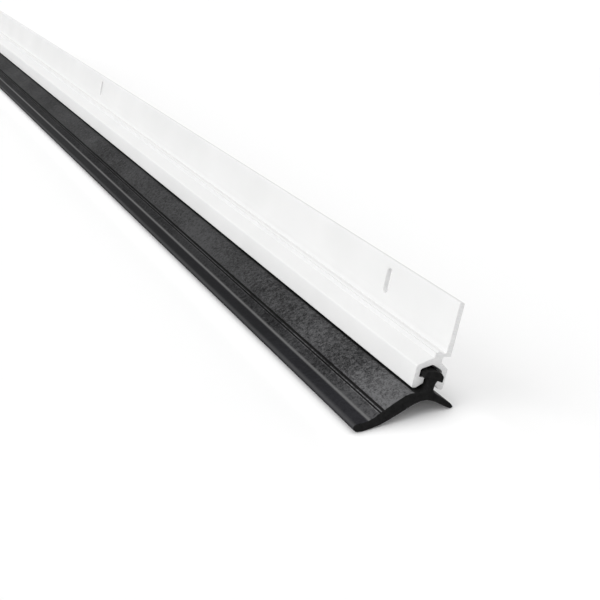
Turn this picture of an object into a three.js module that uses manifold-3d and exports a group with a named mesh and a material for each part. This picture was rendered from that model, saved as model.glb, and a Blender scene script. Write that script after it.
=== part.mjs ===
// Door sweep: a white powder-coated aluminium carrier with a black rubber seal
// that slides into its T-channel. Millimetres, drawn as it hangs on a door:
//   X  along the strip
//   +Y out of the carrier's back face, towards the door
//   +Z up
// The origin is on the back face, halfway along the strip, 8 mm below the line
// of the screw slots, because the middle slot takes the face away on that line.
// The seal is one extrusion on the real strip. It is divided here at the two
// lines where its lips flex: a core (head, neck and hub), a long lip that
// trails outwards and a short lip that reaches back under the door.

import * as THREE from "three";
import { mergeVertices } from "three/addons/utils/BufferGeometryUtils.js";
import Module from "manifold-3d";

const wasm = await Module();
wasm.setup();

// ---------------------------------------------------------------- dimensions
const STRIP_LENGTH = 914.4; // 36 inch strip
const SEAL_SHIFT = 2.5; // the seal sits this far towards +X in its channel

const SCREW_LINE = 8.0; // height of the slots' centres
const FLANGE_TOP = 15.6; // top edge of the screw flange
const FLANGE_FOOT = -2.5; // underside of the flange
const FLANGE_THICKNESS = 1.8; // over the slots
const FOOT_THICKNESS = 2.0; // lower part, below the taper
const TAPER_TOP = 2.9;
const TAPER_BOTTOM = 0.6;
const FOOT_FILLET = 1.1; // where the flange meets the shelf

const SHELF_TOP = -1.55; // small shelf at the foot of the flange
const SHELF_NOSE = -5.9;
const BEAD_TOP = -0.95; // low bead along the shelf

const CHANNEL_WIDTH = 11.6; // outside, back face to front wall
const CHANNEL_BOTTOM = -13.75;
const CHANNEL_WALL = 1.85;
const ROOF_CORNER = -6.15; // where the roof meets the front wall
const ROOF_BACK = -6.7; // where the roof meets the back wall
const ROOF_RIDGE = -5.55; // inside of the roof, highest line
const FOOT_FRONT_TOP = -9.87; // top of the front retaining foot
const FOOT_BACK_TOP = -10.9; // top of the back retaining foot
const THROAT_FRONT = -7.8; // the slot between the two feet
const THROAT_BACK = -3.8;
const FOOT_NOSE = -11.9; // where a foot's chamfer starts

const SLOT_WIDTH = 3.4; // upright screw slots
const SLOT_HEIGHT = 8.9;
const SLOT_X = [-410.5, 0, 410.5];

const UNIT = 0.318; // grid of the seal's section, one step
const ORIGIN_ROW = 7.843; // height of z = 0 on that grid
const FLEX_GAP = 1.2; // clearance at a flex line, grid steps
const LONG_PIVOT = [-42.0, -46.3]; // centre of the long lip's flex line
const LONG_ROOT_RADIUS = 7.0;
const LONG_DIRECTION = [-0.79, -0.613];
const SHORT_PIVOT = [-3.0, -44.2]; // centre of the short lip's flex line
const SHORT_ROOT_RADIUS = 3.6;
const SHORT_DIRECTION = [0.908, -0.419];

// ------------------------------------------------------------------- helpers
// A closed outline whose corners [y, z, r] are rounded to radius r.
function roundedOutline(corners, steps = 4) {
  const out = [];
  const n = corners.length;
  for (let i = 0; i < n; i++) {
    const p = new THREE.Vector2(corners[i][0], corners[i][1]);
    const before = corners[(i + n - 1) % n];
    const after = corners[(i + 1) % n];
    const a = new THREE.Vector2(before[0], before[1]).sub(p);
    const b = new THREE.Vector2(after[0], after[1]).sub(p);
    const la = a.length();
    const lb = b.length();
    a.divideScalar(la);
    b.divideScalar(lb);
    const half = Math.acos(THREE.MathUtils.clamp(a.dot(b), -1, 1)) / 2;
    const r = corners[i][2] || 0;
    if (r <= 0 || Math.PI / 2 - half < 0.03) {
      out.push(p);
      continue;
    }
    const cut = Math.min(r / Math.tan(half), 0.45 * la, 0.45 * lb);
    const start = p.clone().addScaledVector(a, cut);
    const end = p.clone().addScaledVector(b, cut);
    const curve = new THREE.QuadraticBezierCurve(start, p, end);
    const turn = Math.PI - 2 * half;
    const k = Math.max(2, Math.round((steps * turn) / (Math.PI / 2)));
    out.push(...curve.getPoints(k));
  }
  return out;
}

// A prism along X over an outline in (y, z).
function prismX(outline, x0, x1) {
  const geometry = new THREE.ExtrudeGeometry(new THREE.Shape(outline), {
    depth: x1 - x0,
    bevelEnabled: false,
    steps: 1,
  });
  const basis = new THREE.Matrix4().makeBasis(
    new THREE.Vector3(0, 1, 0),
    new THREE.Vector3(0, 0, 1),
    new THREE.Vector3(1, 0, 0),
  );
  return geometry.applyMatrix4(basis).translate(x0, 0, 0);
}

// A prism along Y over an outline in (x, z), from y0 to y1.
function prismY(outline, y0, y1) {
  const geometry = new THREE.ExtrudeGeometry(
    new THREE.Shape(outline.map((p) => new THREE.Vector2(p.x, p.y))),
    { depth: y1 - y0, bevelEnabled: false, steps: 1 },
  );
  // (x, z, depth) -> X, Z and -Y, which keeps the faces turned out.
  const basis = new THREE.Matrix4().makeBasis(
    new THREE.Vector3(1, 0, 0),
    new THREE.Vector3(0, 0, 1),
    new THREE.Vector3(0, -1, 0),
  );
  return geometry.applyMatrix4(basis).translate(0, y1, 0);
}

function solid(geometry) {
  const g = geometry.clone();
  g.deleteAttribute("normal");
  g.deleteAttribute("uv");
  const merged = mergeVertices(g, 1e-4);
  return new wasm.Manifold(
    new wasm.Mesh({
      numProp: 3,
      vertProperties: new Float32Array(merged.attributes.position.array),
      triVerts: new Uint32Array(merged.index.array),
    }),
  );
}

function geometryOf(manifold) {
  const m = manifold.getMesh();
  const positions = new Float32Array(m.numVert * 3);
  for (let i = 0; i < m.numVert; i++)
    positions.set(
      m.vertProperties.subarray(i * m.numProp, i * m.numProp + 3),
      i * 3,
    );
  const g = new THREE.BufferGeometry()
    .setAttribute("position", new THREE.BufferAttribute(positions, 3))
    .setIndex(new THREE.BufferAttribute(new Uint32Array(m.triVerts), 1));
  g.computeVertexNormals();
  return g;
}

const gridPoint = ([u, v]) => [u * UNIT, (v - ORIGIN_ROW) * UNIT];
const onGrid = (corners) =>
  corners.map(([u, v, r]) => [...gridPoint([u, v]), (r || 0) * UNIT]);

// ------------------------------------------------------------------ carrier
const frontWallInside = -CHANNEL_WIDTH + CHANNEL_WALL;
const backWallInside = -CHANNEL_WALL;

const carrierOutline = roundedOutline([
  [0, FLANGE_TOP, 0.5],
  [-FLANGE_THICKNESS, FLANGE_TOP, 0.6],
  [-FLANGE_THICKNESS, TAPER_TOP, 2.0],
  [-FOOT_THICKNESS, TAPER_BOTTOM, 2.0],
  [-FOOT_THICKNESS, SHELF_TOP, FOOT_FILLET],
  [-3.5, SHELF_TOP, 0.25],
  [-3.9, BEAD_TOP - 0.06, 0.25],
  [-4.35, BEAD_TOP, 0.3],
  [-4.85, BEAD_TOP - 0.2, 0.3],
  [-5.3, SHELF_TOP, 0.25],
  [SHELF_NOSE, SHELF_TOP, 0.2],
  [SHELF_NOSE, -3.2, 0.4],
  [-6.9, -3.7, 0.8],
  [-CHANNEL_WIDTH, ROOF_CORNER, 0.95],
  [-CHANNEL_WIDTH, CHANNEL_BOTTOM, 0.65],
  [-10.0, CHANNEL_BOTTOM + 0.2, 0.6],
  [THROAT_FRONT, FOOT_NOSE, 0.3],
  [THROAT_FRONT, FOOT_FRONT_TOP, 0.25],
  [frontWallInside, FOOT_FRONT_TOP, 0.3],
  [frontWallInside, -7.5, 0.25],
  [-9.1, -6.95, 0.4],
  [-5.85, ROOF_RIDGE, 0.4],
  [-2.55, -6.95, 0.4],
  [backWallInside, -7.5, 0.25],
  [backWallInside, FOOT_BACK_TOP, 0.3],
  [THROAT_BACK, FOOT_BACK_TOP, 0.25],
  [THROAT_BACK, FOOT_NOSE, 0.3],
  [-1.7, CHANNEL_BOTTOM + 0.2, 0.6],
  [0, CHANNEL_BOTTOM, 0.65],
  [0, ROOF_BACK, 0.6],
  [-2.85, -4.7, 0.4],
  [-2.85, -3.0, 0.4],
  [-2.4, -2.65, 0.4],
  [0, FLANGE_FOOT, 0.4],
]);

// An upright slot with round ends.
function slotOutline(x) {
  const r = SLOT_WIDTH / 2;
  const c = SLOT_HEIGHT / 2 - r;
  const points = [];
  for (let i = 0; i <= 12; i++) {
    const t = (Math.PI * i) / 12;
    points.push(
      new THREE.Vector2(x + r * Math.cos(t), SCREW_LINE + c + r * Math.sin(t)),
    );
  }
  for (let i = 0; i <= 12; i++) {
    const t = Math.PI + (Math.PI * i) / 12;
    points.push(
      new THREE.Vector2(x + r * Math.cos(t), SCREW_LINE - c + r * Math.sin(t)),
    );
  }
  return points;
}

const HALF = STRIP_LENGTH / 2;
let carrier = solid(prismX(carrierOutline, -HALF, HALF));
for (const x of SLOT_X)
  carrier = carrier.subtract(solid(prismY(slotOutline(x), -3, 1)));

// --------------------------------------------------------------------- seal
// The whole section of the seal, from the head in the channel round both lips.
const sealOutline = roundedOutline(
  onGrid([
    // head, clockwise from the front barb
    [-22.7, -22.0, 0.8],
    [-29.2, -22.0, 0.8],
    [-29.2, -17.6, 2.0],
    [-26.6, -15.3, 2.5],
    [-18.4, -13.6, 3.0],
    [-10.2, -15.6, 2.5],
    [-7.1, -19.0, 2.0],
    [-7.1, -25.0, 0.8],
    [-10.5, -24.4, 1.0],
    [-13.4, -23.4, 1.0],
    // neck, back side
    [-15.2, -27.5, 2.0],
    [-15.6, -33.6, 1.6],
    // short lip, top and tip
    [-13.0, -36.2, 1.5],
    [-5.4, -39.4, 2.0],
    [4.6, -44.0, 2.0],
    [9.0, -46.6, 2.0],
    [12.4, -49.6, 1.6],
    [9.6, -51.8, 1.6],
    [4.6, -50.4, 3.0],
    // arch under the hub
    [-5.4, -47.3, 3.0],
    [-12.5, -45.1, 4.0],
    [-20.2, -44.4, 4.0],
    [-27.5, -46.3, 4.0],
    [-35.1, -50.8, 4.0],
    // underside of the long lip
    [-45.1, -58.6, 5.0],
    [-55.0, -65.9, 5.0],
    [-64.9, -72.7, 5.0],
    [-74.8, -77.8, 5.0],
    [-83.8, -81.2, 4.0],
    [-90.6, -82.3, 3.0],
    // nose
    [-95.3, -79.6, 2.6],
    [-94.6, -75.4, 2.4],
    [-90.6, -73.6, 3.0],
    [-84.4, -71.7, 3.0],
    [-79.6, -69.7, 1.5],
    // bead, and the top of the long lip
    [-77.4, -67.6, 1.2],
    [-74.6, -66.0, 2.0],
    [-69.2, -60.4, 1.5],
    [-64.9, -56.9, 1.5],
    [-55.0, -48.4, 4.0],
    [-46.0, -41.0, 4.0],
    [-38.5, -37.6, 3.0],
    [-30.0, -37.0, 3.0],
    [-24.6, -35.0, 3.0],
    // neck, front side
    [-22.7, -31.0, 2.0],
  ]),
  3,
);

const SEAL_X0 = -HALF + SEAL_SHIFT;
const SEAL_X1 = HALF + SEAL_SHIFT;
const wholeSeal = solid(prismX(sealOutline, SEAL_X0, SEAL_X1));

// A block that covers everything on the lip's side of a line square to `dir`,
// `offset` grid steps beyond the pivot.
function beyond(pivot, dir, offset) {
  const reach = 90;
  const side = [-dir[1], dir[0]];
  const at = (s, t) =>
    new THREE.Vector2(
      ...gridPoint([
        pivot[0] + dir[0] * s + side[0] * t,
        pivot[1] + dir[1] * s + side[1] * t,
      ]),
    );
  return solid(
    prismX(
      [
        at(offset, -reach),
        at(offset + reach, -reach),
        at(offset + reach, reach),
        at(offset, reach),
      ],
      SEAL_X0 - 5,
      SEAL_X1 + 5,
    ),
  );
}

function rootBarrel(pivot, radius) {
  const [y, z] = gridPoint(pivot);
  const points = [];
  for (let i = 0; i < 32; i++) {
    const t = (2 * Math.PI * i) / 32;
    points.push(
      new THREE.Vector2(
        y + radius * UNIT * Math.cos(t),
        z + radius * UNIT * Math.sin(t),
      ),
    );
  }
  return solid(prismX(points, SEAL_X0 - 5, SEAL_X1 + 5));
}

const longLip = wholeSeal.intersect(
  beyond(LONG_PIVOT, LONG_DIRECTION, 0).add(
    rootBarrel(LONG_PIVOT, LONG_ROOT_RADIUS),
  ),
);
const shortLip = wholeSeal.intersect(
  beyond(SHORT_PIVOT, SHORT_DIRECTION, 0).add(
    rootBarrel(SHORT_PIVOT, SHORT_ROOT_RADIUS),
  ),
);
const sealCore = wholeSeal
  .subtract(beyond(LONG_PIVOT, LONG_DIRECTION, -LONG_ROOT_RADIUS - FLEX_GAP))
  .subtract(
    beyond(SHORT_PIVOT, SHORT_DIRECTION, -SHORT_ROOT_RADIUS - FLEX_GAP),
  );

// -------------------------------------------------------------------- parts
const powderCoat = new THREE.MeshStandardMaterial({
  color: 0xf1f1ee,
  roughness: 0.45,
  metalness: 0.0,
});
const rubber = new THREE.MeshStandardMaterial({
  color: 0x1c1c1d,
  roughness: 0.7,
  metalness: 0.0,
});

const group = new THREE.Group();
function addPart(name, shape, material) {
  const mesh = new THREE.Mesh(geometryOf(shape), material);
  mesh.name = name;
  group.add(mesh);
}
addPart("carrier_extrusion", carrier, powderCoat);
addPart("seal_core", sealCore, rubber.clone());
addPart("long_lip", longLip, rubber.clone());
addPart("short_lip", shortLip, rubber.clone());

export default group;
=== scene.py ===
import math

import bmesh
import bpy
import numpy as np
from mathutils import Matrix, Vector, noise
from mathutils.geometry import tessellate_polygon


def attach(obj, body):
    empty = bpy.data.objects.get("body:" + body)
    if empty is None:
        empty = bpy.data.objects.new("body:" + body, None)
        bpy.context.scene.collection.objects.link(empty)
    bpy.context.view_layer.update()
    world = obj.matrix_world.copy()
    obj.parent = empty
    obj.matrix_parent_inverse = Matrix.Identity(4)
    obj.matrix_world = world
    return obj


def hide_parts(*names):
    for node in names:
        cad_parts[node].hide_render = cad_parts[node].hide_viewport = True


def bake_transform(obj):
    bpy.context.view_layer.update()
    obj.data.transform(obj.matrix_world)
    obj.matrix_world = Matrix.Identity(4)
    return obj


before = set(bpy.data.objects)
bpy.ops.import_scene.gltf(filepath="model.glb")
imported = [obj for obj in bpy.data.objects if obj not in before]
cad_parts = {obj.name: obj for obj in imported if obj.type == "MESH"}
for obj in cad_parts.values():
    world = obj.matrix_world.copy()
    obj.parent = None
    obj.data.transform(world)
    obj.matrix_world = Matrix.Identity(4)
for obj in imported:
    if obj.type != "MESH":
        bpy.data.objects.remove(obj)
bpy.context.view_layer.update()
MM = 0.001

# ------------------------------------------------------------------ sections
# The same sections as in the CAD source, in millimetres, corners rounded finer.
HALF = 457.2
SEAL_SHIFT = 2.5
SCREW_LINE = 8.0
SLOT_WIDTH = 3.4
SLOT_HEIGHT = 8.9
SLOT_X = (-410.5, 0.0, 410.5)
UNIT = 0.318
ORIGIN_ROW = 7.843


def grid(u, v):
    return (u * UNIT, (v - ORIGIN_ROW) * UNIT)


def rounded(corners, steps=8):
    """A closed outline whose corners [y, z, r] are rounded."""
    out = []
    n = len(corners)
    for i in range(n):
        p = np.array(corners[i][:2], float)
        a = np.array(corners[i - 1][:2], float) - p
        b = np.array(corners[(i + 1) % n][:2], float) - p
        la, lb = np.linalg.norm(a), np.linalg.norm(b)
        a, b = a / la, b / lb
        half = math.acos(max(-1.0, min(1.0, float(a @ b)))) / 2
        r = corners[i][2]
        if r <= 0 or math.pi / 2 - half < 0.02:
            out.append(tuple(p))
            continue
        cut = min(r / math.tan(half), 0.45 * la, 0.45 * lb)
        s, e = p + a * cut, p + b * cut
        k = max(3, int(round(steps * (math.pi - 2 * half) / (math.pi / 2))))
        for j in range(k + 1):
            t = j / k
            q = (1 - t) ** 2 * s + 2 * t * (1 - t) * p + t * t * e
            out.append((float(q[0]), float(q[1])))
    return out


def refined(outline, longest, closed=True):
    """The same outline with its long straight runs divided."""
    out = []
    n = len(outline)
    for i in range(n if closed else n - 1):
        p, q = np.array(outline[i]), np.array(outline[(i + 1) % n])
        k = max(1, int(math.ceil(np.linalg.norm(q - p) / longest)))
        for j in range(k):
            t = p + (q - p) * j / k
            out.append((float(t[0]), float(t[1])))
    if not closed:
        out.append(tuple(outline[-1]))
    return out


def area2(outline):
    n = len(outline)
    return sum(
        outline[i][0] * outline[(i + 1) % n][1] - outline[(i + 1) % n][0] * outline[i][1]
        for i in range(n)
    )


def inset(outline, d):
    """The outline moved inwards by d, for an eased cut edge."""
    n = len(outline)
    sign = 1.0 if area2(outline) > 0 else -1.0
    out = []
    for i in range(n):
        p = np.array(outline[i])
        a = p - np.array(outline[i - 1])
        b = np.array(outline[(i + 1) % n]) - p
        na = np.array([-a[1], a[0]]) * sign
        nb = np.array([-b[1], b[0]]) * sign
        na, nb = na / max(np.linalg.norm(na), 1e-9), nb / max(np.linalg.norm(nb), 1e-9)
        m = na + nb
        m = m / max(np.linalg.norm(m), 1e-9)
        q = p + m * d / max(0.6, float(m @ na))
        out.append((float(q[0]), float(q[1])))
    return out


def finish_mesh(name, verts, faces, indices, materials, angle=32.0):
    mesh = bpy.data.meshes.new(name)
    mesh.from_pydata([tuple(c * MM for c in v) for v in verts], [], faces)
    for m in materials:
        mesh.materials.append(m)
    mesh.polygons.foreach_set("material_index", indices)
    bm = bmesh.new()
    bm.from_mesh(mesh)
    bmesh.ops.recalc_face_normals(bm, faces=bm.faces)
    bm.to_mesh(mesh)
    bm.free()
    mesh.polygons.foreach_set("use_smooth", [True] * len(mesh.polygons))
    mesh.set_sharp_from_angle(angle=math.radians(angle))
    mesh.update()
    obj = bpy.data.objects.new(name, mesh)
    bpy.context.scene.collection.objects.link(obj)
    return obj


def cap(outline, base, end_material, faces, indices):
    """Closes one end of a prism with triangles over its outline."""
    tris = tessellate_polygon([[Vector((0, p[0], p[1])) for p in outline]])
    for t in tris:
        faces.append([base + i for i in t])
        indices.append(end_material)


# ----------------------------------------------------------------- materials
def node(nt, kind, **values):
    n = nt.nodes.new(kind)
    for k, v in values.items():
        setattr(n, k, v)
    return n


def new_material(name):
    m = bpy.data.materials.new(name)
    m.use_nodes = True
    nt = m.node_tree
    nt.nodes.clear()
    out = nt.nodes.new("ShaderNodeOutputMaterial")
    bsdf = nt.nodes.new("ShaderNodeBsdfPrincipled")
    nt.links.new(bsdf.outputs[0], out.inputs[0])
    return m, nt, bsdf


def coords(nt, scale=(1, 1, 1)):
    tc = nt.nodes.new("ShaderNodeTexCoord")
    mp = nt.nodes.new("ShaderNodeMapping")
    mp.inputs["Scale"].default_value = scale
    nt.links.new(tc.outputs["Object"], mp.inputs["Vector"])
    return mp.outputs[0]


def noise_tex(nt, vector, scale, detail=3.0, rough=0.5):
    n = nt.nodes.new("ShaderNodeTexNoise")
    n.inputs["Scale"].default_value = scale
    n.inputs["Detail"].default_value = detail
    n.inputs["Roughness"].default_value = rough
    nt.links.new(vector, n.inputs["Vector"])
    return n.outputs["Fac"]


def ramp(nt, fac, stops):
    r = nt.nodes.new("ShaderNodeValToRGB")
    el = r.color_ramp.elements
    while len(el) < len(stops):
        el.new(0.5)
    for e, (pos, value) in zip(el, stops):
        e.position = pos
        c = value if isinstance(value, (tuple, list)) else (value, value, value)
        e.color = (c[0], c[1], c[2], 1)
    nt.links.new(fac, r.inputs[0])
    return r.outputs[0]


def span(nt, fac, lo, hi, to_lo, to_hi):
    r = nt.nodes.new("ShaderNodeMapRange")
    r.inputs["From Min"].default_value = lo
    r.inputs["From Max"].default_value = hi
    r.inputs["To Min"].default_value = to_lo
    r.inputs["To Max"].default_value = to_hi
    nt.links.new(fac, r.inputs["Value"])
    return r.outputs["Result"]


def math_node(nt, op, a, b):
    m = nt.nodes.new("ShaderNodeMath")
    m.operation = op
    for i, v in enumerate((a, b)):
        if isinstance(v, (int, float)):
            m.inputs[i].default_value = v
        else:
            nt.links.new(v, m.inputs[i])
    return m.outputs[0]


def mix_color(nt, fac, a, b, kind="MIX"):
    m = nt.nodes.new("ShaderNodeMix")
    m.data_type = "RGBA"
    m.blend_type = kind
    for sock, v in ((m.inputs[0], fac), (m.inputs[6], a), (m.inputs[7], b)):
        if isinstance(v, (int, float)):
            sock.default_value = v
        elif isinstance(v, tuple):
            sock.default_value = (*v, 1)
        else:
            nt.links.new(v, sock)
    return m.outputs[2]


def bump(nt, height, distance, strength=1.0, normal=None):
    b = nt.nodes.new("ShaderNodeBump")
    b.inputs["Strength"].default_value = strength
    b.inputs["Distance"].default_value = distance
    nt.links.new(height, b.inputs["Height"])
    if normal is not None:
        nt.links.new(normal, b.inputs["Normal"])
    return b.outputs[0]


def powder_coat():
    """White satin powder coat: orange peel, faint cloudiness, a few specks.
    A mesh attribute whitens it along the concave fillet at the foot of the flange: a painted highlight."""
    m, nt, s = new_material("white_powder_coat")
    v = coords(nt)
    long_v = coords(nt, (0.05, 1, 1))
    peel = noise_tex(nt, v, 850, 2.0, 0.45)
    cloud = noise_tex(nt, v, 38, 3.0, 0.5)
    die = noise_tex(nt, long_v, 1300, 2.0, 0.5)
    speck = noise_tex(nt, v, 1700, 1.0, 0.4)
    base = ramp(nt, cloud, [(0.3, (0.735, 0.737, 0.734)), (0.7, (0.76, 0.76, 0.758))])
    dots = ramp(nt, speck, [(0.80, 1.0), (0.86, 0.86)])
    # Painted highlight: whitens the coat towards (0.835, 0.835, 0.833) where the mesh attribute is high, along
    # the fillet at the foot of the flange.
    painted_corner_highlight = nt.nodes.new("ShaderNodeAttribute")
    painted_corner_highlight.attribute_name = "painted_highlight"
    base = mix_color(nt, painted_corner_highlight.outputs["Fac"], base, (0.835, 0.835, 0.833))
    color = mix_color(nt, 1.0, base, dots, "MULTIPLY")
    nt.links.new(color, s.inputs["Base Color"])
    nt.links.new(span(nt, cloud, 0.25, 0.75, 0.46, 0.56), s.inputs["Roughness"])
    s.inputs["IOR"].default_value = 1.5
    s.inputs["Specular IOR Level"].default_value = 0.3
    first = bump(nt, die, 0.0000035)
    nt.links.new(bump(nt, peel, 0.000009, 1.0, first), s.inputs["Normal"])
    return m


def sawn_aluminium():
    """The bare metal of a cut end or a punched slot: fine saw lines."""
    m, nt, s = new_material("sawn_aluminium")
    v = coords(nt, (1, 0.25, 1))
    lines = noise_tex(nt, v, 2600, 3.0, 0.6)
    patch = noise_tex(nt, coords(nt), 260, 3.0, 0.5)
    color = ramp(nt, lines, [(0.3, (0.80, 0.80, 0.80)), (0.7, (0.92, 0.92, 0.92))])
    nt.links.new(color, s.inputs["Base Color"])
    nt.links.new(span(nt, patch, 0.3, 0.7, 0.42, 0.58), s.inputs["Roughness"])
    s.inputs["Metallic"].default_value = 0.12
    nt.links.new(bump(nt, lines, 0.00002), s.inputs["Normal"])
    return m


def rubber(name, low, high, rough, specular, mottle=1.0):
    """Black extruded rubber: cloudy bloom, drawn lines along it, fine grain.
    A mesh attribute lightens the bead's crest and the nose's rim: a painted highlight."""
    m, nt, s = new_material(name)
    v = coords(nt)
    long_v = coords(nt, (0.04, 1, 1))
    shift = nt.nodes.new("ShaderNodeMapping")
    shift.inputs["Location"].default_value = (CLOUD_SHIFT, 0.0, 0.0)
    nt.links.new(v, shift.inputs["Vector"])
    wide = noise_tex(nt, shift.outputs[0], 22, 2.0, 0.5)
    cloud = noise_tex(nt, v, 640, 3.0, 0.6)
    grain = noise_tex(nt, v, 1900, 3.0, 0.65)
    drawn = noise_tex(nt, long_v, 700, 3.0, 0.6)
    both = math_node(nt, "ADD", math_node(nt, "MULTIPLY", cloud, 0.45), math_node(nt, "MULTIPLY", grain, 0.55))
    both = math_node(nt, "ADD", math_node(nt, "MULTIPLY", both, 0.72), math_node(nt, "MULTIPLY", wide, 0.28))
    # Painted highlight: the rubber colour is scaled to 0.55 along the middle and up to 1.2 towards both cut
    # ends.
    sep = nt.nodes.new("ShaderNodeSeparateXYZ")
    nt.links.new(v, sep.inputs[0])
    painted_end_highlight = span(nt, math_node(nt, "ABSOLUTE", sep.outputs["X"], 0.0), 0.31, 0.452, 0.55, 1.2)
    color = ramp(nt, both, [(0.41, low), (0.50, tuple((a + b) / 2 for a, b in zip(low, high))), (0.58, high)])
    color = mix_color(nt, 1.0, color, painted_end_highlight, "MULTIPLY")
    # Painted highlight: lightens the lip towards grey 0.142 along the bead's crest and the nose's rim,
    # streaked along the length.
    painted_highlight = nt.nodes.new("ShaderNodeAttribute")
    painted_highlight.attribute_name = "painted_highlight"
    painted_lip_highlight = math_node(nt, "MULTIPLY", painted_highlight.outputs["Fac"], span(nt, drawn, 0.3, 0.7, 0.75, 1.0))
    color = mix_color(nt, painted_lip_highlight, color, (0.142, 0.142, 0.142))
    nt.links.new(color, s.inputs["Base Color"])
    nt.links.new(span(nt, both, 0.35, 0.65, rough[0], rough[1]), s.inputs["Roughness"])
    s.inputs["IOR"].default_value = 1.5
    s.inputs["Specular IOR Level"].default_value = specular
    first = bump(nt, drawn, 0.000012)
    second = bump(nt, grain, 0.000014 * mottle, 1.0, first)
    nt.links.new(bump(nt, cloud, 0.000022 * mottle, 1.0, second), s.inputs["Normal"])
    return m


CLOUD_SHIFT = 0.0
M_WHITE = powder_coat()
M_BARE = sawn_aluminium()
M_RUBBER = rubber("black_rubber", (0.011, 0.011, 0.0115), (0.112, 0.112, 0.115), (0.55, 0.75), 0.040)
M_OUTER = rubber("black_rubber_outer", (0.006, 0.006, 0.0065), (0.062, 0.062, 0.064), (0.58, 0.75), 0.025)
M_NOSE = rubber("black_rubber_nose", (0.0065, 0.0065, 0.008), (0.018, 0.018, 0.021), (0.42, 0.55), 0.018, 0.5)
# Near-black rubber of the cut ends, also laid as painted shade in the grooves and under the channel.
M_CUT_AND_SHADE = rubber("black_rubber_cut_and_painted_shade", (0.004, 0.004, 0.004), (0.012, 0.012, 0.012), (0.6, 0.75), 0.10, 1.2)

# ------------------------------------------------------------------- carrier
CARRIER = [
    (0, 15.6, 0.5), (-1.8, 15.6, 0.6), (-1.8, 2.9, 2.0), (-2.0, 0.6, 2.0),
    (-2.0, -1.55, 1.1), (-3.5, -1.55, 0.25), (-3.9, -1.01, 0.25), (-4.35, -0.95, 0.3),
    (-4.85, -1.15, 0.3), (-5.3, -1.55, 0.25), (-5.9, -1.55, 0.2), (-5.9, -3.2, 0.4),
    (-6.9, -3.7, 0.8), (-11.6, -6.15, 0.95), (-11.6, -13.75, 0.65), (-10.0, -13.55, 0.6),
    (-7.8, -11.9, 0.3), (-7.8, -9.87, 0.25), (-9.75, -9.87, 0.3), (-9.75, -7.5, 0.25),
    (-9.1, -6.95, 0.4), (-5.85, -5.55, 0.4), (-2.55, -6.95, 0.4), (-1.85, -7.5, 0.25),
    (-1.85, -10.9, 0.3), (-3.8, -10.9, 0.25), (-3.8, -11.9, 0.3), (-1.7, -13.55, 0.6),
    (0, -13.75, 0.65), (0, -6.7, 0.6), (-2.85, -4.7, 0.4), (-2.85, -3.0, 0.4),
    (-2.4, -2.65, 0.4), (0, -2.5, 0.4),
]
PATCH_Z = [14.6, 13.4, 12.2, 11.0, 9.5, 8.0, 6.5, 5.2, 4.2, 3.0]
PATCH_HALF = 6.0
ROWS = len(PATCH_Z) - 1
COLUMNS = 16


def carrier_outline():
    """The rounded outline with the slot patch's rows added to both flange faces."""
    base = rounded(CARRIER, 10)
    out = []
    n = len(base)
    for i in range(n):
        p, q = base[i], base[(i + 1) % n]
        out.append(p)
        for y, order in ((-1.8, PATCH_Z), (0.0, PATCH_Z[::-1])):
            if (
                abs(p[0] - y) < 1e-6
                and abs(q[0] - y) < 1e-6
                and min(p[1], q[1]) < 3.0
                and max(p[1], q[1]) > 14.6
            ):
                out += [(y, z) for z in order]
    return out


def slot_ring(x, grow):
    """The slot's outline, in step with the patch: top arc, right side, bottom arc, left side."""
    r = SLOT_WIDTH / 2 + grow
    c = SLOT_HEIGHT / 2 - SLOT_WIDTH / 2
    pts = []
    for k in range(COLUMNS):
        t = math.pi * (1 - k / COLUMNS)
        pts.append((x + r * math.cos(t), SCREW_LINE + c + r * math.sin(t)))
    for k in range(ROWS):
        pts.append((x + r, SCREW_LINE + c - 2 * c * k / ROWS))
    for k in range(COLUMNS):
        t = -math.pi * k / COLUMNS
        pts.append((x + r * math.cos(t), SCREW_LINE - c + r * math.sin(t)))
    for k in range(ROWS):
        pts.append((x - r, SCREW_LINE - c + 2 * c * k / ROWS))
    return pts


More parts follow.
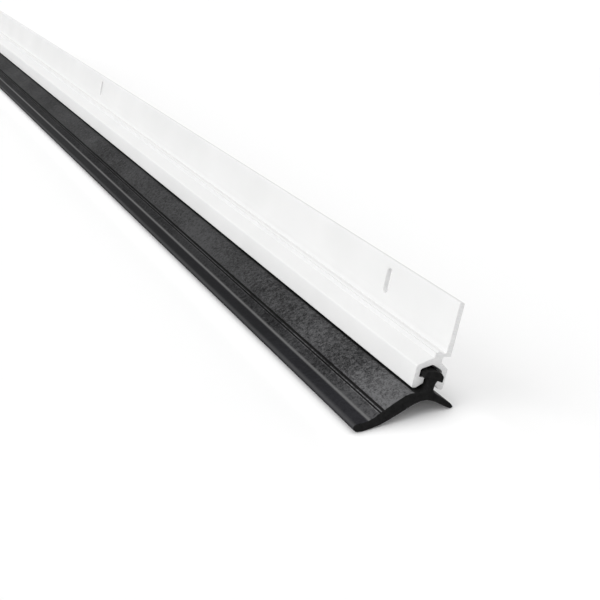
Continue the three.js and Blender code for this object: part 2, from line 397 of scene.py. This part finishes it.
def build_carrier():
    outline = carrier_outline()
    n = len(outline)
    front = outline.index((-1.8, PATCH_Z[0]))
    back = outline.index((0.0, PATCH_Z[0]))
    ease = 0.09
    xs = [-HALF + ease, HALF - ease]
    for x in SLOT_X:
        xs += [x + PATCH_HALF * k / (COLUMNS / 2) for k in range(-COLUMNS // 2, COLUMNS // 2 + 1)]
    for a, b in ((-450, -420), (-400, -10), (10, 400), (420, 450)):
        k = max(1, int((b - a) / 26))
        xs += [a + (b - a) * j / k for j in range(k + 1)]
    xs = sorted(set(round(x, 4) for x in xs))
    small = inset(outline, ease)
    verts, faces, indices = [], [], []
    rings = [(-HALF, small)] + [(x, outline) for x in xs] + [(HALF, small)]
    for x, o in rings:
        verts += [(x, p[0], p[1]) for p in o]
    skip = {}
    for j, (x, o) in enumerate(rings[:-1]):
        for sx in SLOT_X:
            if sx - PATCH_HALF - 1e-3 <= x < sx + PATCH_HALF - 1e-3:
                skip[j] = sx
    for j in range(len(rings) - 1):
        for i in range(n):
            if j in skip and (front <= i < front + ROWS or back - ROWS <= i < back):
                continue
            k = (i + 1) % n
            faces.append([j * n + i, j * n + k, (j + 1) * n + k, (j + 1) * n + i])
            indices.append(0)
    cap(small, 0, 1, faces, indices)
    cap(small, (len(rings) - 1) * n, 1, faces, indices)
    radius = 0.2
    for sx in SLOT_X:
        j0 = next(j for j, r in enumerate(rings) if abs(r[0] - (sx - PATCH_HALF)) < 1e-3)
        j1 = j0 + COLUMNS

        def border(first, step):
            """The patch's border from its upper left corner, clockwise seen from the front."""
            out = [j * n + first for j in range(j0, j1)]
            out += [j1 * n + first + step * k for k in range(ROWS)]
            out += [j * n + first + step * ROWS for j in range(j1, j0, -1)]
            out += [j0 * n + first + step * (ROWS - k) for k in range(ROWS)]
            return out

        loops = [border(front, 1)]
        levels = [(-1.8, radius, 0)]
        for k in (1, 2, 3):
            t = math.radians(30 * k)
            levels.append((-1.8 + radius * (1 - math.cos(t)), radius * (1 - math.sin(t)), 0))
        for k in (3, 2, 1):
            t = math.radians(30 * k)
            levels.append((-radius * (1 - math.cos(t)), radius * (1 - math.sin(t)), 1 if k == 3 else 0))
        levels.append((0.0, radius, 0))
        mats = []
        for y, grow, mat in levels:
            base = len(verts)
            ring = slot_ring(sx, grow)
            verts += [(p[0], y, p[1]) for p in ring]
            loops.append([base + i for i in range(len(ring))])
            mats.append(mat)
        loops.append(border(back, -1))
        mats.append(0)
        for a, b, mat in zip(loops[:-1], loops[1:], mats):
            for i in range(len(a)):
                k = (i + 1) % len(a)
                faces.append([a[i], a[k], b[k], b[i]])
                indices.append(mat)
    obj = finish_mesh("carrier_skin", verts, faces, indices, [M_WHITE, M_BARE])
    # Painted highlight: a lighter band of powder coat along the concave fillet at the foot of the flange,
    # stored as a mesh attribute.
    painted_corner_highlight = [math.exp(-((math.hypot(v[1] + 2.5, v[2] + 1.4) / 1.3) ** 2)) for v in verts]
    painted_highlight = obj.data.attributes.new("painted_highlight", "FLOAT", "POINT")
    painted_highlight.data.foreach_set("value", np.array(painted_corner_highlight, np.float32))
    return obj


# ---------------------------------------------------------------------- seal
SEAL = [
    (-22.7, -22.0, 0.8), (-29.2, -22.0, 0.8), (-29.2, -17.6, 2.0), (-26.6, -15.3, 2.5),
    (-18.4, -13.6, 3.0), (-10.2, -15.6, 2.5), (-7.1, -19.0, 2.0), (-7.1, -25.0, 0.8),
    (-10.5, -24.4, 1.0), (-13.4, -23.4, 1.0), (-15.2, -27.5, 2.0), (-15.6, -33.6, 1.6),
    (-13.0, -36.2, 1.5), (-5.4, -39.4, 2.0), (4.6, -44.0, 2.0), (9.0, -46.6, 2.0),
    (12.4, -49.6, 1.6), (9.6, -51.8, 1.6), (4.6, -50.4, 3.0), (-5.4, -47.3, 3.0),
    (-12.5, -45.1, 4.0), (-20.2, -44.4, 4.0), (-27.5, -46.3, 4.0), (-35.1, -50.8, 4.0),
    (-45.1, -58.6, 5.0), (-55.0, -65.9, 5.0), (-64.9, -72.7, 5.0), (-74.8, -77.8, 5.0),
    (-83.8, -81.2, 4.0), (-90.6, -82.3, 3.0), (-95.3, -79.6, 2.6), (-94.6, -75.4, 2.4),
    (-90.6, -73.6, 3.0), (-84.4, -71.7, 3.0), (-79.6, -69.7, 1.5), (-77.4, -67.6, 1.2),
    (-74.6, -66.0, 2.0), (-69.2, -60.4, 1.5),
    (-64.9, -56.9, 1.5), (-55.0, -48.4, 4.0), (-46.0, -41.0, 4.0), (-38.5, -37.6, 3.0),
    (-30.0, -37.0, 3.0), (-24.6, -35.0, 3.0), (-22.7, -31.0, 2.0),
]
GROOVES = [  # along the top of the long lip: centre, half width, depth, all in grid steps
    ((-66.1, -57.95), 1.6, 2.2),
    ((-69.0, -60.25), 0.85, 1.5),
]
SHORT_PIVOT = (-3.0, -44.2)
SHORT_DIR = (0.908, -0.419)


def seal_outline():
    base = rounded(SEAL, 7)
    fine = refined(base, 0.9)
    # finer still where the grooves are
    out = []
    n = len(fine)
    for i in range(n):
        p, q = np.array(fine[i]), np.array(fine[(i + 1) % n])
        mid = (p + q) / 2
        near = min(abs(mid[0] - g[0][0]) + abs(mid[1] - g[0][1]) for g in GROOVES)
        k = max(1, int(math.ceil(np.linalg.norm(q - p) / 0.22))) if near < 4.6 else 1
        for j in range(k):
            t = p + (q - p) * j / k
            out.append((float(t[0]), float(t[1])))
    # press the grooves in, square to the surface
    d = np.array([-0.78, -0.626])
    inward = np.array([0.626, -0.78])
    cut = []
    for p in out:
        p = np.array(p)
        move = 0.0
        for c, half, depth in GROOVES:
            rel = p - np.array(c)
            along, off = abs(float(rel @ d)), abs(float(rel @ inward))
            if off < 2.5 and along < half:
                move = max(move, depth * math.cos(math.pi / 2 * along / half) ** 0.7)
        cut.append(tuple(p + inward * move))
    return cut


def side_of(p, pivot, direction, offset):
    return (p[0] - pivot[0]) * direction[0] + (p[1] - pivot[1]) * direction[1] - offset


def split_outline(outline, pivot, direction, offset):
    """Divides a closed outline on a line square to direction: (kept body, cut-off lip)."""
    n = len(outline)
    vals = [side_of(p, pivot, direction, offset) for p in outline]
    body, lip = [], []
    for i in range(n):
        p, q = outline[i], outline[(i + 1) % n]
        a, b = vals[i], vals[(i + 1) % n]
        (lip if a > 0 else body).append(p)
        if (a > 0) != (b > 0):
            t = a / (a - b)
            x = tuple(c + (d - c) * t for c, d in zip(p, q))
            body.append(x)
            lip.append(x)
    return body, lip


def prism(name, outline, ease, zone):
    """The outline drawn along X with eased cut ends. Each point carries its eased place too."""
    mm = [grid(p[0], p[1]) for p in outline]
    n = len(mm)
    x0, x1 = -HALF + SEAL_SHIFT, HALF + SEAL_SHIFT
    k = 88
    xs = [x0 + ease + (x1 - x0 - 2 * ease) * j / k for j in range(k + 1)]
    small = [(p[2], p[3]) for p in outline]
    rings = [(x0, small)] + [(x, mm) for x in xs] + [(x1, small)]
    verts, faces, indices = [], [], []
    for x, o in rings:
        verts += [(x, p[0], p[1]) for p in o]
    for j in range(len(rings) - 1):
        for i in range(n):
            k2 = (i + 1) % n
            faces.append([j * n + i, j * n + k2, (j + 1) * n + k2, (j + 1) * n + i])
            indices.append(zone(outline[i], outline[k2]))
    cap(small, 0, 2, faces, indices)
    cap(small, (len(rings) - 1) * n, 2, faces, indices)
    obj = finish_mesh(name, verts, faces, indices, [M_RUBBER, M_NOSE, M_CUT_AND_SHADE, M_OUTER])
    add_painted_highlight(obj, outline, len(rings))
    return obj


def zone(p, q):
    """Which rubber finish a strip of the side has: body, nose, near-black cut-end rubber laid as painted shade
    in the grooves and under the channel, or outer band.
    """
    m = ((p[0] + q[0]) / 2, (p[1] + q[1]) / 2)
    # Painted shade: the grooves take the near-black cut-end rubber.
    for c, half, depth in GROOVES:
        along = abs((m[0] - c[0]) * 0.78 + (m[1] - c[1]) * 0.626)
        off = abs((m[0] - c[0]) * 0.626 - (m[1] - c[1]) * 0.78)
        if along < half * 0.9 and off < 4:
            return 2
    # Painted shade: the head and neck inside the channel, and the long lip's top just past the channel's foot,
    # take the near-black cut-end rubber.
    if -36 < m[0] < -14.5 and m[1] > -38.6 or m[1] > -35:
        return 2
    return 1 if m[0] < -80.2 else 3 if m[0] < -70.2 and m[1] > m[0] + 4 else 0


# Centres of the painted highlights on the bead's crest and on the nose's rim, in grid steps.
BEAD_HIGHLIGHT = (-78.9, -68.9)
RIM_HIGHLIGHT = (-94.4, -76.0)


def add_painted_highlight(obj, outline, n_rings):
    """A painted highlight along the bead's crest, lightest on its line, and a weaker one along the nose's rim.
    """
    values = []
    for p in outline:
        d = math.hypot(p[0] - BEAD_HIGHLIGHT[0], p[1] - BEAD_HIGHLIGHT[1])
        e = math.hypot(p[0] - RIM_HIGHLIGHT[0], p[1] - RIM_HIGHLIGHT[1])
        values.append(math.exp(-((d / 1.35) ** 2)) + 0.36 * math.exp(-((e / 2.4) ** 2)))
    painted_highlight = obj.data.attributes.new("painted_highlight", "FLOAT", "POINT")
    plain = [0.0] * len(outline)
    every = plain + values * (n_rings - 2) + plain
    painted_highlight.data.foreach_set("value", np.array(every, np.float32))


EASE = 0.1
whole = seal_outline()
whole = [(*p, *e) for p, e in zip(whole, inset([grid(*p) for p in whole], EASE))]
body_part, short_part = split_outline(whole, SHORT_PIVOT, SHORT_DIR, -4.5)

carrier = build_carrier()
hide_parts("carrier_extrusion")
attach(carrier, "carrier")

seal = prism("seal_extrusion", body_part, EASE, zone)
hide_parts("seal_core", "long_lip")
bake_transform(seal)

short = prism("short_lip_skin", short_part, EASE, zone)
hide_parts("short_lip")
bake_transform(short)

# --------------------------------------------------------------------- stage
SLOPE = 0.318


def floor_height(y):
    """Flat in front, a gentle even ramp that both lips rest on, flat behind, in millimetres."""

    def run(a, b):
        """Distance covered from a towards b as the slope fades in or out."""
        t = max(0.0, min(1.0, (y - a) / (b - a)))
        return (b - a) * (t ** 3 - t ** 4 / 2)

    rise = run(-42.0, -30.0) + max(0.0, min(y, 4.0) + 30.0)
    t = max(0.0, min(1.0, (y - 4.0) / 12.0))
    rise += 12.0 * (t - t ** 3 + t ** 4 / 2)
    return -31.46 + SLOPE * rise


def build_floor():
    ys = [-9000, -1500, -400, -150, -80]
    ys += [-60 + k * 2.5 for k in range(0, 37)]
    ys += [60, 150, 400, 1500, 9000]
    xs = [-9000, -2500, -1000, -500, 0, 500, 1000, 2500, 9000]
    verts = [(x, y, floor_height(y)) for y in ys for x in xs]
    faces = []
    w = len(xs)
    for j in range(len(ys) - 1):
        for i in range(w - 1):
            a = j * w + i
            faces.append([a, a + 1, a + 1 + w, a + w])
    m, nt, s = new_material("floor_white")
    s.inputs["Base Color"].default_value = (0.97, 0.97, 0.97, 1)
    s.inputs["Emission Color"].default_value = (1, 1, 1, 1)
    s.inputs["Emission Strength"].default_value = 0.045
    s.inputs["Roughness"].default_value = 0.9
    s.inputs["Specular IOR Level"].default_value = 0.0
    return finish_mesh("floor", verts, faces, [0] * len(faces), [m])


floor = build_floor()
floor.visible_glossy = False

scene = bpy.context.scene
scene.view_settings.view_transform = "Standard"
scene.view_settings.look = "None"
scene.view_settings.exposure = 0.0
scene.view_settings.gamma = 1.0

world = bpy.data.worlds.new("studio")
scene.world = world
world.use_nodes = True
wt = world.node_tree
wt.nodes.clear()
w_out = wt.nodes.new("ShaderNodeOutputWorld")
w_bg = wt.nodes.new("ShaderNodeBackground")
w_tc = wt.nodes.new("ShaderNodeTexCoord")
w_sep = wt.nodes.new("ShaderNodeSeparateXYZ")
wt.links.new(w_tc.outputs["Generated"], w_sep.inputs[0])
height = ramp(
    wt,
    span(wt, w_sep.outputs["Z"], -1.0, 1.0, 0.0, 1.0),
    [(0.47, 0.12), (0.492, 1.0), (0.58, 1.0), (0.68, 0.86), (1.0, 0.84)],
)
side = ramp(wt, span(wt, w_sep.outputs["X"], -1.0, 1.0, 0.0, 1.0), [(0.35, 1.0), (0.9, 0.72)])
wt.links.new(mix_color(wt, 1.0, height, side, "MULTIPLY"), w_bg.inputs["Color"])
w_bg.inputs["Strength"].default_value = 1.03
wt.links.new(w_bg.outputs[0], w_out.inputs[0])


def soft_light(name, towards, strength, angle):
    """A broad soft light far away, in the direction given."""
    data = bpy.data.lights.new(name, "SUN")
    data.energy = strength
    data.angle = math.radians(angle)
    o = bpy.data.objects.new(name, data)
    scene.collection.objects.link(o)
    o.location = Vector(towards) * 2.0
    o.rotation_euler = Vector(towards).to_track_quat("Z", "Y").to_euler()
    return o


soft_light("key_behind", (-0.58, -0.26, 0.77), 0.36, 50)
soft_light("fill_front", (0.04, -0.9, 0.28), 1.2, 50)

camera_data = bpy.data.cameras.new("camera")
camera_data.sensor_width = 36.0
camera_data.lens = 71.2287
camera_data.clip_start = 0.01
camera_data.clip_end = 100.0
camera = bpy.data.objects.new("camera", camera_data)
scene.collection.objects.link(camera)
camera.matrix_world = Matrix(
    (
        (0.387089, -0.317505, 0.865651, 0.758622),
        (0.896574, -0.089525, -0.433752, -0.207718),
        (0.215216, 0.944021, 0.250013, 0.098358),
        (0, 0, 0, 1),
    )
)
scene.camera = camera
